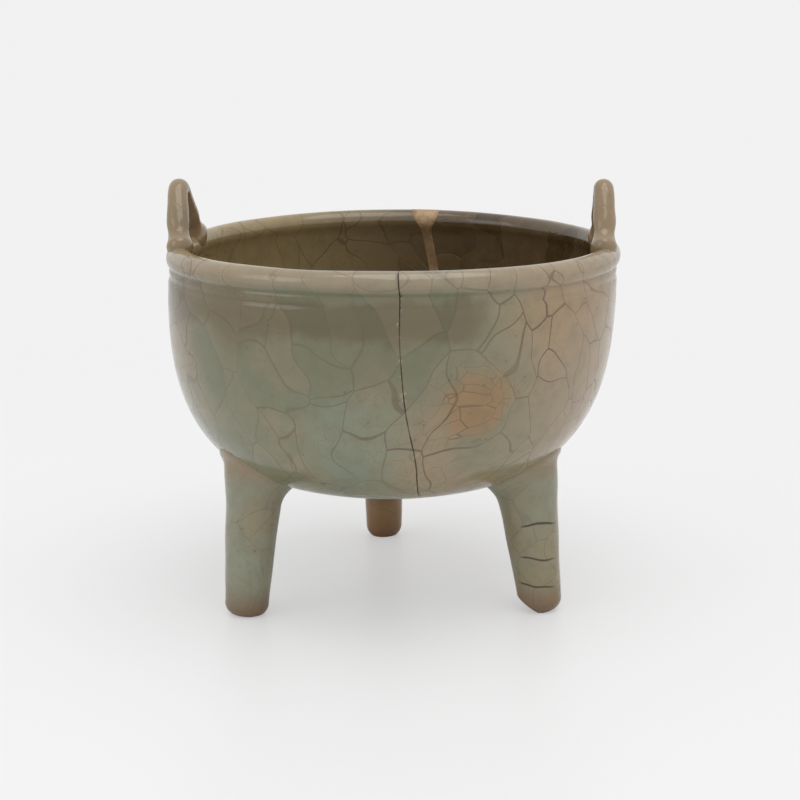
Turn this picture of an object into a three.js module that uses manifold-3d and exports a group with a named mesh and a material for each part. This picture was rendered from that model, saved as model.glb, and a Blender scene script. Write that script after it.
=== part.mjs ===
// Tripod incense burner of crackled celadon stoneware, mended after a break
//
// A thrown bowl with a rolled lip stands on three hand-rolled legs and carries two coil loops.
// The bowl once broke in two along one crack that runs over the front wall, under the floor and
// up the back wall. The two shards sit edge to edge, and a strip of filler is set into the
// chipped edge of the break inside the back wall and over the back of the lip.
// Millimetres, +Z up. The origin is on the floor under the middle of the bowl, -Y is the front.

import * as THREE from 'three';
import { mergeVertices } from 'three/addons/utils/BufferGeometryUtils.js';
import Module from 'manifold-3d';

const wasm = await Module();
wasm.setup();

// Bowl
const WALL_RADIUS = 62.3;
const UNDERSIDE_HEIGHT = 33;
const BELLY_HEIGHT = 52.5;
const NECK_HEIGHT = 12.4;
const WALL_THICKNESS = 4.7;
const FLOOR_THICKNESS = 6;
const BELLY_FULLNESS = 3.81;
const UNDERSIDE_FLATNESS = 2.3;
const SLUMP = 1.6;
const SLUMP_AT_LIP = 0.5;
const LEFT_DIP = 1.3;
const RIGHT_DIP = 0.6;

// Rolled lip, and the thrown band under it
const LIP_BEAD_RADIUS = 3.3;
const LIP_SET_IN = 2.8;
const BAND_HEIGHT = 3;
const BAND_CREASE = 0.3;
const BAND_LEAD = 1.6;
const BAND_ROUNDING = 0.4;
const BAND_FULLEST_SHARE = 0.55;
const BAND_FOOT_IN = 0.4;
const BAND_FULLEST_IN = 0.3;
const BAND_TOP_IN = 0.5;
const NECK_TAPER = 0.1;
const LIP_START_ANGLE = -38;
const LIP_END_ANGLE = 212;

// Legs
const LEG_RING_RADIUS = 47.4;
const LEG_RING_TURN = 2.6;
const LEG_RING_OFFSET = -0.5;
const LEG_FOOT_RADIUS = 6;
const LEG_TOP_RADIUS = 8.3;
const CHIPPED_LEG_TOP_RADIUS = 9.1;
const LEG_SWELL = 1.25;
const TIP_ROUNDING = 3.6;
const FOOT_FLAT_RADIUS = 2.8;
const BACK_LEG_SLIMNESS = 0.9;
const FRONT_LEG_LEAN = 5.2;
const CHIPPED_LEG_LEAN = 8;
const BACK_LEG_LEAN = 4;
const CHIP_ANGLE = 185;
const CHIP_WIDTH = 5;
const CHIP_HEIGHT = 3.4;

// Clay smeared into the corner between each leg and the bowl
const LUTING_REACH_DOWN = 5;
const LUTING_REACH_IN = 4.4;
const LUTING_REACH_OUT = 1.3;
const LUTING_EDGE = 0.5;

// Coil loops on the lip
const COIL_RADIUS = 3.15;
const COIL_APEX_RADIUS = 2.75;
const COIL_NECK_RADIUS = 2.5;
const COIL_FOOT_DEPTH_SHARE = 1.3;
const LOOP_HEIGHT = 14.4;
const LOOP_SET_IN = 0.7;
const LOOP_PINCH = 0.2;
const LEFT_LOOP_ANGLE = 176.5;
const LEFT_LOOP_SPREAD = 14;
const LEFT_LOOP_LEAN = 1.1;
const RIGHT_LOOP_ANGLE = -4;
const RIGHT_LOOP_SPREAD = 12;
const RIGHT_LOOP_LEAN = -1;

// Clay smeared round each foot of a loop
const COLLAR_HEIGHT = 4;
const COLLAR_THICKNESS = 0.6;
const COLLAR_FLARE = 1.5;
const COLLAR_BULGE = 0.35;

// Break, and the filler set into its chipped edge
const BREAK_OFFSET = 6.4;
const BREAK_SKEW = 0.088;
const BREAK_LEAN = 0.083;
const BREAK_WAVE = 0.7;
const BREAK_WAVE_LENGTH = 46;
const BREAK_WAVE_SKEW = 0.6;
const BREAK_RIPPLE_RATE = 1.7;
const BREAK_RIPPLE_SHARE = 0.4;
const BREAK_OVERCUT = 1.2;
const FILL_HALF_WIDTH = 1.7;
const FILL_LIP_HALF_WIDTH = 5;
const FILL_DEPTH = 1.6;
const FILL_BOTTOM_HEIGHT = 58;
const FILL_OUTER_LIP_ANGLE = 30;

// Clearances between pieces
const SEAT_GAP = 0.3;
const BREAK_GAP = 0.34;

// Facets
const BOWL_SEGMENTS = 64;
const LEG_SEGMENTS = 22;
const LUTING_SEGMENTS = 24;
const COIL_SEGMENTS = 12;
const COIL_STEPS = 28;
const COLLAR_SEGMENTS = 14;
const COLLAR_STEPS = 6;
const BELLY_STEPS = 14;
const INNER_STEPS = 12;
const LIP_STEPS = 10;
const SEAT_BELLY_STEPS = 36;
const SEAT_LIP_STEPS = 20;
const FIT_BELLY_STEPS = 60;
const FIT_HALVINGS = 40;
const BREAK_STEPS_ALONG = 24;
const BREAK_STEPS_UP = 16;
const FILL_LIP_STEPS = 9;
const TIP_STEPS = 5;
const SHAFT_STEPS = 7;
const CHEEK_STEPS = 4;

const widestHeight = UNDERSIDE_HEIGHT + BELLY_HEIGHT;
const lipHeight = widestHeight + NECK_HEIGHT;
const lipTop = lipHeight + LIP_BEAD_RADIUS;
const lipRadius = WALL_RADIUS - LIP_SET_IN;
const overallReach = 2 * WALL_RADIUS;

const radians = THREE.MathUtils.degToRad;
const up = new THREE.Vector3(0, 0, 1);

// Materials
const glaze = new THREE.MeshStandardMaterial({ color: 0x8b8a70, roughness: 0.25, metalness: 0 });
const warmGlaze = new THREE.MeshStandardMaterial({ color: 0x958567, roughness: 0.25, metalness: 0 });
const legGlaze = new THREE.MeshStandardMaterial({ color: 0x88816a, roughness: 0.28, metalness: 0 });
const darkLegGlaze = new THREE.MeshStandardMaterial({ color: 0x6b5234, roughness: 0.3, metalness: 0 });
const coilGlaze = new THREE.MeshStandardMaterial({ color: 0x8c8067, roughness: 0.22, metalness: 0 });
const lutingGlaze = new THREE.MeshStandardMaterial({ color: 0x7d6a4b, roughness: 0.3, metalness: 0 });
const filler = new THREE.MeshStandardMaterial({ color: 0xa98a66, roughness: 0.6, metalness: 0 });

// Solids: a closed three.js geometry becomes a solid that can be cut, and a solid becomes a geometry

function toSolid(geometry) {
  const bare = geometry.clone();
  bare.deleteAttribute('normal');
  bare.deleteAttribute('uv');
  const merged = mergeVertices(bare, 1e-4);
  const corners = merged.index.array;
  const kept = [];
  for (let i = 0; i < corners.length; i += 3) {
    const [a, b, c] = [corners[i], corners[i + 1], corners[i + 2]];
    if (a !== b && b !== c && c !== a) kept.push(a, b, c);
  }
  return new wasm.Manifold(new wasm.Mesh({
    numProp: 3,
    vertProperties: new Float32Array(merged.attributes.position.array),
    triVerts: new Uint32Array(kept),
  }));
}

function toGeometry(solid) {
  const mesh = solid.getMesh();
  const geometry = new THREE.BufferGeometry();
  geometry.setAttribute('position', new THREE.BufferAttribute(mesh.vertProperties, mesh.numProp));
  geometry.setIndex(new THREE.BufferAttribute(mesh.triVerts, 1));
  geometry.computeVertexNormals();
  return geometry;
}

// A surface woven from rows of points, each row joined to the next; closed rows and columns wrap round
function weave(rows, { wrapRows = false, capEnds = false } = {}) {
  const count = rows[0].length;
  const positions = rows.flat().flatMap((point) => point.toArray());
  const triangles = [];
  const lastRow = wrapRows ? rows.length : rows.length - 1;
  for (let row = 0; row < lastRow; row += 1) {
    const next = (row + 1) % rows.length;
    for (let column = 0; column < count; column += 1) {
      const beside = (column + 1) % count;
      const [a, b] = [row * count + column, row * count + beside];
      const [c, d] = [next * count + column, next * count + beside];
      triangles.push(a, b, d, a, d, c);
    }
  }
  if (capEnds) {
    const last = (rows.length - 1) * count;
    for (let column = 1; column < count - 1; column += 1) {
      triangles.push(0, column + 1, column);
      triangles.push(last, last + column, last + column + 1);
    }
  }
  const geometry = new THREE.BufferGeometry();
  geometry.setAttribute('position', new THREE.Float32BufferAttribute(positions, 3));
  geometry.setIndex(triangles);
  return geometry;
}

// A profile of [radius, height] points turned about the vertical axis
function turned(profile, segments) {
  const points = profile.map(([radius, height]) => new THREE.Vector2(radius, height));
  return new THREE.LatheGeometry(points, segments).rotateX(Math.PI / 2);
}

function steps(count, from, to) {
  return Array.from({ length: count + 1 }, (_, i) => THREE.MathUtils.lerp(from, to, i / count));
}

// Bowl outline: a superellipse from the middle of the underside out to the widest part of the wall

function bellyPoint(angle, radius, depth, offset = 0) {
  const across = Math.sin(angle) ** (2 / BELLY_FULLNESS);
  const below = Math.max(Math.cos(angle), 0) ** (2 / UNDERSIDE_FLATNESS);
  const normal = new THREE.Vector2(
    across ** (BELLY_FULLNESS - 1) * BELLY_FULLNESS / radius,
    below ** (UNDERSIDE_FLATNESS - 1) * UNDERSIDE_FLATNESS / depth,
  ).normalize();
  return [radius * across + offset * normal.x, widestHeight - depth * below - offset * normal.y];
}

function belly(radius, depth, offset, count) {
  return steps(count, 0, Math.PI / 2).map((angle) => bellyPoint(angle, radius, depth, offset));
}

function lipArc(radius, from, to, count) {
  return steps(count, radians(from), radians(to)).map((angle) => [
    lipRadius + radius * Math.cos(angle),
    lipHeight + radius * Math.sin(angle),
  ]);
}

// Sagging in the kiln: the bowl leans to the left towards its underside, and its lip dips where
// the loops stand on it
function slumpAt(height) {
  const share = (lipHeight - height) / (lipHeight - UNDERSIDE_HEIGHT);
  return SLUMP_AT_LIP - SLUMP * THREE.MathUtils.clamp(share, 0, 1);
}

function dipAt(x, height) {
  const depth = x < 0 ? LEFT_DIP : RIGHT_DIP;
  const aside = Math.min(Math.abs(x) / lipRadius, 1);
  return depth * aside ** 2 * THREE.MathUtils.smoothstep(height, widestHeight - NECK_HEIGHT, lipHeight);
}

function sagged(geometry) {
  const position = geometry.attributes.position;
  for (let i = 0; i < position.count; i += 1) {
    const [x, z] = [position.getX(i), position.getZ(i)];
    position.setX(i, x + slumpAt(z));
    position.setZ(i, z - dipAt(x, z));
  }
  return geometry;
}

function innerBelly(offset, count) {
  return belly(WALL_RADIUS - WALL_THICKNESS, BELLY_HEIGHT - FLOOR_THICKNESS, offset, count).reverse();
}

function bowlProfile() {
  const bandTop = lipHeight - LIP_BEAD_RADIUS * Math.sin(radians(-LIP_START_ANGLE));
  return [
    ...belly(WALL_RADIUS, BELLY_HEIGHT, 0, BELLY_STEPS),
    [WALL_RADIUS - NECK_TAPER, bandTop - BAND_HEIGHT - BAND_LEAD],
    [WALL_RADIUS - BAND_FOOT_IN - BAND_CREASE / 2, bandTop - BAND_HEIGHT - BAND_ROUNDING],
    [WALL_RADIUS - BAND_FULLEST_IN, bandTop - BAND_HEIGHT * BAND_FULLEST_SHARE],
    [WALL_RADIUS - BAND_TOP_IN - BAND_CREASE, bandTop - BAND_ROUNDING],
    ...lipArc(LIP_BEAD_RADIUS, LIP_START_ANGLE, LIP_END_ANGLE, LIP_STEPS),
    [WALL_RADIUS - WALL_THICKNESS + NECK_TAPER, lipHeight - LIP_BEAD_RADIUS],
    ...innerBelly(0, INNER_STEPS),
  ];
}

// The bowl grown by a clearance: what stands under it is cut with the filled form, and what sits on
// the lip is cut with the wall and its bead
function bowlFilled(clearance) {
  return toSolid(sagged(turned([
    ...belly(WALL_RADIUS, BELLY_HEIGHT, clearance, SEAT_BELLY_STEPS),
    [WALL_RADIUS + clearance, lipHeight],
    [0, lipHeight],
  ], BOWL_SEGMENTS)));
}

function lipSeat(clearance) {
  const inside = WALL_RADIUS - WALL_THICKNESS - clearance;
  const beadRound = lipArc(LIP_BEAD_RADIUS + clearance, 0, 360, SEAT_LIP_STEPS);
  const bead = toSolid(sagged(turned(beadRound, BOWL_SEGMENTS)));
  const wall = toSolid(sagged(turned([
    [inside, widestHeight],
    [WALL_RADIUS + clearance, widestHeight],
    [WALL_RADIUS + clearance, lipHeight],
    [inside, lipHeight],
    [inside, widestHeight],
  ], BOWL_SEGMENTS)));
  return bead.add(wall);
}

// Break: one wavy surface, given as how far to the right it lies at each depth and height
function breakAt(y, z) {
  const below = lipHeight - z;
  const wave = Math.sin(2 * Math.PI * (below + BREAK_WAVE_SKEW * y) / BREAK_WAVE_LENGTH);
  const ripple = Math.sin(2 * Math.PI * (BREAK_RIPPLE_RATE * below - y) / BREAK_WAVE_LENGTH);
  const bend = BREAK_WAVE * (wave + BREAK_RIPPLE_SHARE * ripple);
  return BREAK_OFFSET + BREAK_SKEW * y + BREAK_LEAN * below + bend;
}

// A block whose left and right faces follow the break, each moved aside by its own offset
function alongBreak(leftOffset, rightOffset) {
  const span = 2 * BREAK_OVERCUT * WALL_RADIUS;
  const tall = BREAK_OVERCUT * lipTop;
  const block = new THREE.BoxGeometry(2, span, tall, 1, BREAK_STEPS_ALONG, BREAK_STEPS_UP);
  block.translate(0, 0, tall / 2);
  const position = block.attributes.position;
  for (let i = 0; i < position.count; i += 1) {
    const [y, z] = [position.getY(i), position.getZ(i)];
    const offset = position.getX(i) < 0 ? leftOffset(z) : rightOffset(z);
    position.setX(i, breakAt(y, z) + offset);
  }
  return toSolid(block);
}

function rightOfBreak(offset) {
  return alongBreak(() => offset, () => overallReach);
}

// The filler's place: along the break behind the middle, a short way into the inside and the lip
function chippedEdge(inset) {
  const halfWidth = (height) => {
    const rise = THREE.MathUtils.smoothstep(height, lipHeight - LIP_BEAD_RADIUS, lipTop);
    return THREE.MathUtils.lerp(FILL_HALF_WIDTH, FILL_LIP_HALF_WIDTH, rise) - inset;
  };
  const strip = alongBreak((z) => -halfWidth(z), halfWidth);
  const depth = FILL_DEPTH - inset;
  const clear = lipTop + 4 * LIP_BEAD_RADIUS;
  const surfaceSkin = toSolid(sagged(turned([
    ...innerBelly(depth, INNER_STEPS).reverse(),
    [WALL_RADIUS - WALL_THICKNESS + depth, lipHeight - LIP_BEAD_RADIUS],
    ...lipArc(LIP_BEAD_RADIUS - depth, 180, FILL_OUTER_LIP_ANGLE, FILL_LIP_STEPS),
    [WALL_RADIUS + 2 * LIP_BEAD_RADIUS, lipHeight + (LIP_BEAD_RADIUS - depth) / 2],
    [WALL_RADIUS + 2 * LIP_BEAD_RADIUS, clear],
    [0, clear],
  ], BOWL_SEGMENTS)));
  const backTop = new THREE.BoxGeometry(overallReach, overallReach, overallReach);
  backTop.translate(0, overallReach / 2, FILL_BOTTOM_HEIGHT + inset + overallReach / 2);
  return strip.intersect(surfaceSkin).intersect(toSolid(backTop));
}

function buildBowl() {
  const whole = toSolid(sagged(turned(bowlProfile(), BOWL_SEGMENTS)));
  const chipped = whole.subtract(chippedEdge(0));
  return {
    left: toGeometry(chipped.subtract(rightOfBreak(-BREAK_GAP / 2))),
    right: toGeometry(chipped.intersect(rightOfBreak(BREAK_GAP / 2))),
    fill: toGeometry(whole.intersect(chippedEdge(SEAT_GAP))),
  };
}

// Legs

const legs = [
  {
    name: 'leg_front_left', angle: -150, lean: FRONT_LEG_LEAN, material: legGlaze,
    footRadius: LEG_FOOT_RADIUS, topRadius: LEG_TOP_RADIUS,
  },
  {
    name: 'leg_front_right', angle: -30, lean: CHIPPED_LEG_LEAN, material: legGlaze,
    footRadius: LEG_FOOT_RADIUS, topRadius: CHIPPED_LEG_TOP_RADIUS, chipped: true,
  },
  {
    name: 'leg_back', angle: 90, lean: BACK_LEG_LEAN, material: darkLegGlaze,
    footRadius: BACK_LEG_SLIMNESS * LEG_FOOT_RADIUS, topRadius: BACK_LEG_SLIMNESS * LEG_TOP_RADIUS,
  },
];

function legRadius(leg, along) {
  const share = Math.max(along, 0) / (UNDERSIDE_HEIGHT + LEG_TOP_RADIUS);
  return THREE.MathUtils.lerp(leg.footRadius, leg.topRadius, share ** LEG_SWELL);
}

function legFrame(leg) {
  const angle = radians(leg.angle + LEG_RING_TURN);
  const outward = new THREE.Vector3(Math.cos(angle), Math.sin(angle), 0);
  const side = new THREE.Vector3().crossVectors(up, outward);
  const tilt = new THREE.Quaternion().setFromAxisAngle(side, -radians(leg.lean));
  return {
    foot: new THREE.Vector3(LEG_RING_OFFSET, 0, 0).addScaledVector(outward, LEG_RING_RADIUS),
    axis: up.clone().applyQuaternion(tilt),
    outward: outward.clone().applyQuaternion(tilt),
    side,
  };
}

function legPoint(frame, radius, around, along) {
  return frame.foot.clone()
    .addScaledVector(frame.axis, along)
    .addScaledVector(frame.outward, radius * Math.cos(around))
    .addScaledVector(frame.side, radius * Math.sin(around));
}

// How far along a leg's side a point comes within a clearance of the bowl's underside
function alongToBowl(leg, frame, around, outFromLeg, clearance) {
  const outline = belly(WALL_RADIUS, BELLY_HEIGHT, clearance, FIT_BELLY_STEPS);
  const insideBowl = (along) => {
    const point = legPoint(frame, legRadius(leg, along) + outFromLeg, around, along);
    const reach = Math.hypot(point.x - slumpAt(point.z), point.y);
    const next = outline.findIndex(([radius]) => radius > reach);
    if (next < 0) return false;
    const [[r0, z0], [r1, z1]] = [outline[Math.max(next - 1, 0)], outline[Math.max(next, 1)]];
    return point.z > THREE.MathUtils.mapLinear(reach, r0, r1, z0, z1);
  };
  let [low, high] = [0, widestHeight];
  for (let i = 0; i < FIT_HALVINGS; i += 1) {
    const middle = (low + high) / 2;
    if (insideBowl(middle)) high = middle;
    else low = middle;
  }
  return high;
}

// The inner lower corner of a foot, knocked off along a slope
function footChip(leg, frame) {
  const direction = new THREE.Vector3(1, 0, 0).applyAxisAngle(up, radians(CHIP_ANGLE));
  const block = new THREE.BoxGeometry(overallReach, overallReach, overallReach);
  block.translate(0, 0, -overallReach / 2);
  block.rotateY(-Math.atan2(CHIP_HEIGHT, CHIP_WIDTH));
  block.rotateZ(radians(CHIP_ANGLE));
  const edge = frame.foot.clone().addScaledVector(direction, legRadius(leg, 0) - CHIP_WIDTH);
  return toSolid(block.translate(edge.x, edge.y, edge.z));
}

function buildLeg(leg, bowlBody) {
  const frame = legFrame(leg);
  const start = -FOOT_FLAT_RADIUS * Math.tan(radians(leg.lean));
  const top = widestHeight - WALL_THICKNESS;
  const rounding = legRadius(leg, TIP_ROUNDING) - FOOT_FLAT_RADIUS;
  const tip = steps(TIP_STEPS, 0, Math.PI / 2).map((angle) => [
    FOOT_FLAT_RADIUS + rounding * Math.sin(angle),
    start + TIP_ROUNDING * (1 - Math.cos(angle)),
  ]);
  const shaft = steps(SHAFT_STEPS, start + TIP_ROUNDING, top).slice(1);
  const sides = shaft.map((along) => [legRadius(leg, along), along]);
  const rod = turned([[0, start], ...tip, ...sides, [0, top]], LEG_SEGMENTS);
  const placed = new THREE.Matrix4().makeBasis(frame.outward, frame.side, frame.axis);
  rod.applyMatrix4(placed.setPosition(frame.foot));
  const belowFloor = new THREE.BoxGeometry(overallReach, overallReach, overallReach);
  belowFloor.translate(0, 0, -overallReach / 2);
  const solid = toSolid(rod).subtract(bowlBody).subtract(toSolid(belowFloor));
  return toGeometry(leg.chipped ? solid.subtract(footChip(leg, frame)) : solid);
}

// The luting is a hollow-cheeked bead in the corner between leg and bowl, widest on the inner side
function buildLuting(leg) {
  const frame = legFrame(leg);
  const rows = steps(LUTING_SEGMENTS, 0, 2 * Math.PI).slice(1).map((around) => {
    const facingIn = (1 - Math.cos(around)) / 2;
    const reach = THREE.MathUtils.lerp(LUTING_REACH_OUT, LUTING_REACH_IN, facingIn);
    const down = LUTING_REACH_DOWN * reach / LUTING_REACH_IN;
    const cheek = steps(CHEEK_STEPS, 0, Math.PI / 2).map((angle) => [
      LUTING_EDGE + (reach - LUTING_EDGE) * (1 - Math.sin(angle)),
      LUTING_EDGE + (down - LUTING_EDGE) * (1 - Math.cos(angle)),
    ]);
    return [[0, 0], [reach, 0], ...cheek, [0, down]].map(([out, below]) => {
      const along = alongToBowl(leg, frame, around, SEAT_GAP + out, SEAT_GAP + below);
      return legPoint(frame, legRadius(leg, along) + SEAT_GAP + out, around, along);
    });
  });
  return weave(rows, { wrapRows: true });
}

// Loops

const loops = [
  { side: 'left', angle: LEFT_LOOP_ANGLE, spread: LEFT_LOOP_SPREAD, lean: LEFT_LOOP_LEAN },
  { side: 'right', angle: RIGHT_LOOP_ANGLE, spread: RIGHT_LOOP_SPREAD, lean: RIGHT_LOOP_LEAN },
];

// The coil's middle line: up from one side of the lip, over and down again, following the lip's curve;
// handles 4/3 high put the top of the arch at 1
class LoopPath extends THREE.Curve {
  constructor(loop) {
    super();
    this.loop = loop;
    this.arch = new THREE.CubicBezierCurve(
      new THREE.Vector2(1, 0),
      new THREE.Vector2(-LOOP_PINCH, 4 / 3),
      new THREE.Vector2(LOOP_PINCH, 4 / 3),
      new THREE.Vector2(-1, 0),
    );
  }

  getPoint(t) {
    const { x: aside, y: risen } = this.arch.getPoint(t);
    const radius = lipRadius - LOOP_SET_IN + this.loop.lean * risen;
    const angle = radians(this.loop.angle) + this.loop.spread * aside / lipRadius;
    const height = lipHeight + (LIP_BEAD_RADIUS + LOOP_HEIGHT) * risen;
    return new THREE.Vector3(radius * Math.cos(angle), radius * Math.sin(angle), height);
  }
}

// Below the top of the lip a foot closes in like the end of a finger, so that it ends inside the bead
function footClosing(height) {
  const sunk = Math.max(lipTop - height, 0) / (COIL_FOOT_DEPTH_SHARE * LIP_BEAD_RADIUS);
  return Math.sqrt(1 - Math.min(sunk, 1) ** 2);
}

function coilRadius(height) {
  const rise = height - lipTop;
  const neck = THREE.MathUtils.smoothstep(rise, COLLAR_HEIGHT, COLLAR_HEIGHT + COIL_RADIUS / 2);
  const crown = THREE.MathUtils.smoothstep(rise, COLLAR_HEIGHT, LOOP_HEIGHT);
  const full = THREE.MathUtils.lerp(COIL_NECK_RADIUS, COIL_RADIUS, neck);
  return THREE.MathUtils.lerp(full, COIL_APEX_RADIUS, crown);
}

// A round or oval coil swept along part of a loop; the two half axes are given for each height
function swept(loop, from, to, count, segments, halfAxes) {
  const path = new LoopPath(loop);
  const outward = new THREE.Vector3(1, 0, 0).applyAxisAngle(up, radians(loop.angle));
  const rows = steps(count, from, to).map((t) => {
    const centre = path.getPoint(t);
    const tangent = path.getTangent(t);
    const along = new THREE.Vector3().crossVectors(tangent, outward).normalize();
    const across = new THREE.Vector3().crossVectors(along, tangent);
    const [wide, long] = halfAxes(centre.z);
    return steps(segments, 0, 2 * Math.PI).slice(1).map((angle) => centre.clone()
      .addScaledVector(across, wide * Math.cos(angle))
      .addScaledVector(along, long * Math.sin(angle)));
  });
  return toSolid(sagged(weave(rows, { capEnds: true })));
}

function coil(loop, clearance) {
  return swept(loop, 0, 1, COIL_STEPS, COIL_SEGMENTS, (height) => {
    const radius = (coilRadius(height) + clearance) * footClosing(height);
    return [radius, radius];
  });
}

// A collar clings to the coil at its top and spreads along the lip at its foot
function collar(loop, atEnd) {
  const top = (LIP_BEAD_RADIUS + COLLAR_HEIGHT) / (LIP_BEAD_RADIUS + LOOP_HEIGHT);
  const reach = (1 - Math.sqrt(1 - top)) / 2;
  const [from, to] = atEnd ? [1 - reach, 1] : [0, reach];
  const outside = swept(loop, from, to, COLLAR_STEPS, COLLAR_SEGMENTS, (height) => {
    const low = 1 - THREE.MathUtils.clamp((height - lipTop) / COLLAR_HEIGHT, 0, 1);
    const radius = coilRadius(height) + SEAT_GAP + COLLAR_THICKNESS;
    const closing = footClosing(height);
    return [(radius + COLLAR_BULGE * low ** 2) * closing, (radius + COLLAR_FLARE * low ** 2) * closing];
  });
  return outside.subtract(coil(loop, SEAT_GAP));
}

// Assembly

function piece(name, geometry, material) {
  const mesh = new THREE.Mesh(geometry, material);
  mesh.name = name;
  return mesh;
}

const burner = new THREE.Group();

const bowl = buildBowl();
burner.add(piece('bowl_left_shard', bowl.left, glaze));
burner.add(piece('bowl_right_shard', bowl.right, warmGlaze));
burner.add(piece('break_filler', bowl.fill, filler));

const bowlBody = bowlFilled(SEAT_GAP);
for (const leg of legs) {
  burner.add(piece(leg.name, buildLeg(leg, bowlBody), leg.material));
  burner.add(piece(`${leg.name}_luting`, buildLuting(leg), lutingGlaze));
}

const seat = lipSeat(SEAT_GAP);
for (const loop of loops) {
  const stem = `loop_handle_${loop.side}`;
  burner.add(piece(stem, toGeometry(coil(loop, 0).subtract(seat)), coilGlaze));
  for (const atEnd of [false, true]) {
    const end = new LoopPath(loop).getPoint(atEnd ? 1 : 0).y < 0 ? 'front' : 'back';
    burner.add(piece(`${stem}_${end}_luting`, toGeometry(collar(loop, atEnd).subtract(seat)), lutingGlaze));
  }
}

export default burner;
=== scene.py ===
"""Tripod incense burner of crackled celadon stoneware: the detailed surfaces over its solids."""

import math

import bmesh
import bpy
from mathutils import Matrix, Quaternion, Vector, noise


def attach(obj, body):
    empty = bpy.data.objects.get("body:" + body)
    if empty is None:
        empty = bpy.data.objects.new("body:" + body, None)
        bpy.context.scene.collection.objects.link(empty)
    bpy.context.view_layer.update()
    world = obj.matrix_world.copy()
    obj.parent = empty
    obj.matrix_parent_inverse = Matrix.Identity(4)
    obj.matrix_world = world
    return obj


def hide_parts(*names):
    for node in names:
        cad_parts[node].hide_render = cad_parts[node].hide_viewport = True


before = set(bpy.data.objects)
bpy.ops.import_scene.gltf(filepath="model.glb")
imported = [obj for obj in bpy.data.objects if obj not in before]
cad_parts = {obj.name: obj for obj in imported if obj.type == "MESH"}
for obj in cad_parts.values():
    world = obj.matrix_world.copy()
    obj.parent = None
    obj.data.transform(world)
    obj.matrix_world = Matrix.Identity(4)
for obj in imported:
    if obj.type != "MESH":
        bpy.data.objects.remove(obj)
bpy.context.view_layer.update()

bl_info = {
    "name": "Tripod Incense Burner",
    "version": (1, 0, 0),
    "blender": (4, 5, 0),
    "location": "3D View > Sidebar > Burner",
    "description": "Builds the bowl, filler, legs and loops of a mended incense burner",
    "category": "Add Mesh",
}

MM = 0.001

# Bowl outline in millimetres
WALL_RADIUS = 62.3
UNDERSIDE_HEIGHT = 33.0
BELLY_HEIGHT = 52.5
NECK_HEIGHT = 12.4
FLOOR_THICKNESS = 6.0
BELLY_FULLNESS = 3.81
UNDERSIDE_FLATNESS = 2.3
LIP_START_ANGLE = -38
LIP_END_ANGLE = 212
SLUMP = 1.6
SLUMP_AT_LIP = 0.5
LEFT_DIP = 1.3
RIGHT_DIP = 0.6
LIP_SET_IN = 2.8
BAND_HEIGHT = 3.0
WIDEST_HEIGHT = UNDERSIDE_HEIGHT + BELLY_HEIGHT
LIP_HEIGHT = WIDEST_HEIGHT + NECK_HEIGHT
LIP_RADIUS = WALL_RADIUS - LIP_SET_IN

# Break in millimetres
BREAK_OFFSET = 6.4
BREAK_SKEW = 0.088
BREAK_LEAN = 0.083
BREAK_WAVE = 0.7
BREAK_WAVE_LENGTH = 46.0
BREAK_WAVE_SKEW = 0.6
BREAK_RIPPLE_RATE = 1.7
BREAK_RIPPLE_SHARE = 0.4
FILL_HALF_WIDTH = 1.7
FILL_LIP_HALF_WIDTH = 5.0
FILL_BOTTOM_HEIGHT = 58.5
FILL_LIP_RISE = 1.4

LEGS = {
    "leg_front_left": {"angle": -150, "lean": 5.2, "foot": 6.0, "top": 8.3, "chip": 0.0},
    "leg_front_right": {"angle": -30, "lean": 8.0, "foot": 6.0, "top": 9.1, "chip": 3.4},
    "leg_back": {"angle": 90, "lean": 4.0, "foot": 5.4, "top": 7.47, "chip": 0.0},
}
LEG_RING_RADIUS = 47.4
LEG_RING_TURN = 2.6
LEG_RING_OFFSET = -0.5
LEG_SWELL = 1.25
TIP_ROUNDING = 3.6
FOOT_FLAT_RADIUS = 2.8
CHIP_ANGLE = 185
CHIP_WIDTH = 5.0
LEG_SINK = 1.6

LOOPS = {
    "loop_handle_left": {"angle": 176.5, "spread": 14.0, "lean": 1.1},
    "loop_handle_right": {"angle": -4.0, "spread": 12.0, "lean": -1.0},
}
LOOP_HEIGHT = 14.4
LOOP_SET_IN = 0.7
LOOP_PINCH = 0.2
COLLAR_HEIGHT = 4.0


# Stage: lamps as name, place, size and power; angles in degrees; the rest in metres and millimetres
BACKDROP = (0.885, 0.885, 0.885, 1)
SOFTBOXES = (
    ("top_softbox", (0.1, -0.15, 0.9), 0.7, 2.6),
    ("left_softbox", (-0.8, -0.4, 0.5), 0.5, 0.8),
)
CAMERA_LENS = 81.36
CAMERA_PLACE = (0, -0.4998, 0.1732)
CAMERA_DOWN = 13.35
CAMERA_RIGHT = 0.264


def srgb(red, green, blue):
    """Linear colour with alpha from 0-255 display values."""
    def linear(value):
        value /= 255
        return value / 12.92 if value <= 0.04045 else ((value + 0.055) / 1.055) ** 2.4
    return (linear(red), linear(green), linear(blue), 1.0)


def colour_property(name, description, default):
    return bpy.props.FloatVectorProperty(
        name=name, description=description, default=srgb(*default)[:3], subtype="COLOR", min=0, max=1)


def length_property(name, description, default):
    return bpy.props.FloatProperty(
        name=name, description=description, default=default * MM, min=0, unit="LENGTH", precision=5)


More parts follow.
